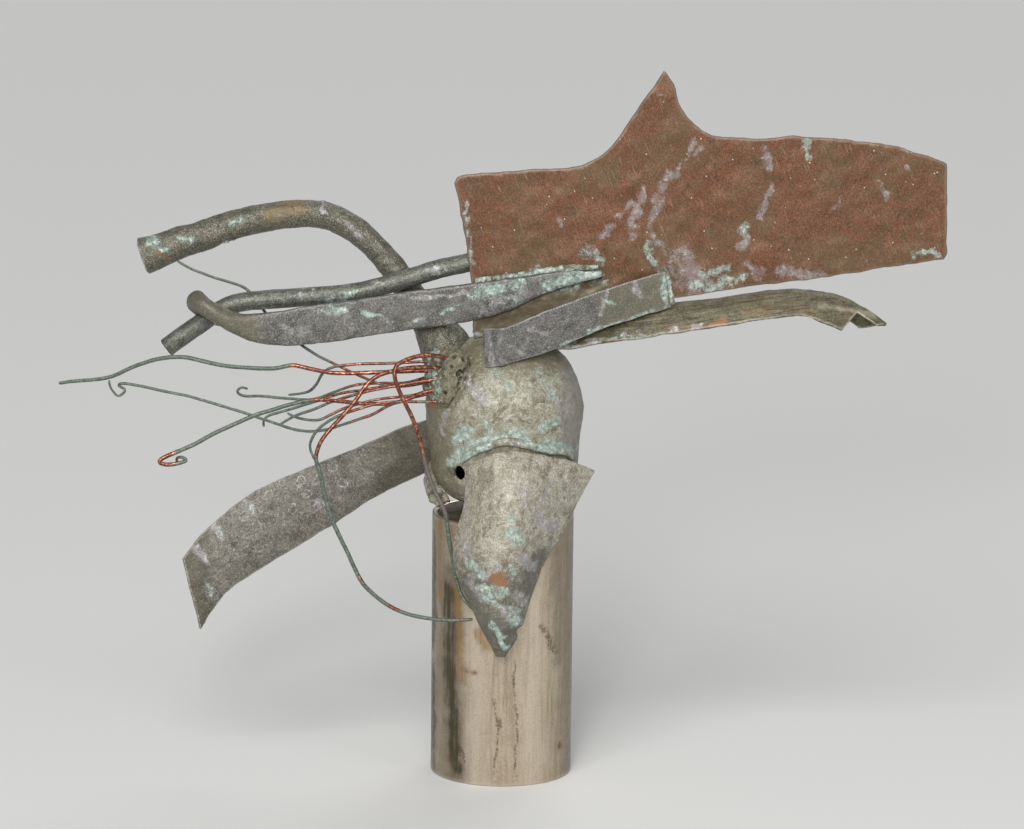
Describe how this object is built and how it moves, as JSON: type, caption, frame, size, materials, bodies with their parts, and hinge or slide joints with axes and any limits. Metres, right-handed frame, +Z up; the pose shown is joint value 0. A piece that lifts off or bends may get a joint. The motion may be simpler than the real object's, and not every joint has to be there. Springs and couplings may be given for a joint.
{
  "type": "weather vane",
  "caption": "Garden weather vane of patinated bronze and copper: hollow hub with beak, tail plate, wing, horn and stiff wires, turning on a spindle in a short steel pipe post.",
  "frame": {"origin": "centre of the pipe's foot, on the surface it stands on", "axes": "+Z up along the pipe and the spindle; +X the way the tail plate points at rest; the beak is on the -Y side"},
  "size_m": [0.5531, 0.1208, 0.447],
  "materials": {
    "steel_pipe": "drawn steel tube with brown and green stains",
    "bright_steel": "turned",
    "bush_bronze": "machined",
    "hub_bronze": "cast, mottled grey-tan patina",
    "beak_bronze": "hammered, brushed grey-tan patina with verdigris",
    "plate_copper": "red-brown patina with pale streaks",
    "gutter_bronze": "tan patina with drawn striations",
    "grey_strip": "purple-grey patina with white speckle",
    "rod_bronze": "grey-green patina",
    "horn_bronze": "grey-khaki patina, hammered",
    "wing_bronze": "grey-taupe patina with light rings",
    "wire_copper": "bare copper near the hub, grey-green further out",
    "braze": "lumpy braze with verdigris"
  },
  "bodies": {
    "post": {"post_pipe": "steel_pipe", "bearing_plug": "steel_pipe", "spindle": "bright_steel", "spindle_washer": "bright_steel", "spindle_nut": "bright_steel", "bearing_ball": "bright_steel"},
    "vane": {"hub_shell": "hub_bronze", "swivel_tube": "bush_bronze", "lower_bush": "bush_bronze", "upper_bush": "bush_bronze", "thrust_cap": "bush_bronze", "hub_lip": "hub_bronze", "wire_boss": "braze", "beak": "beak_bronze", "tail_plate": "plate_copper", "tail_gutter": "gutter_bronze", "brace_strip": "grey_strip", "side_bar": "grey_strip", "long_rod": "rod_bronze", "horn": "horn_bronze", "wing_strip": "wing_bronze", "beak_weld": "braze", "plate_weld": "braze", "bar_weld": "braze", "brace_weld": "braze", "rod_weld": "braze", "wing_weld": "braze", "wire_long": "wire_copper", "wire_horn": "wire_copper", "wire_hook": "wire_copper", "wire_low": "wire_copper", "wire_curl": "wire_copper", "wire_arc": "wire_copper", "wire_drop": "wire_copper", "wire_branch": "wire_copper", "wire_inner": "wire_copper", "wire_fork": "wire_copper", "wire_spur": "wire_copper", "wire_bend": "wire_copper"}
  },
  "joints": [
    {"name": "yaw", "type": "hinge", "parent": "post", "child": "vane", "pos_m": [0, 0, 0.2], "axis": [0, 0, 1], "continuous": true}
  ]
}
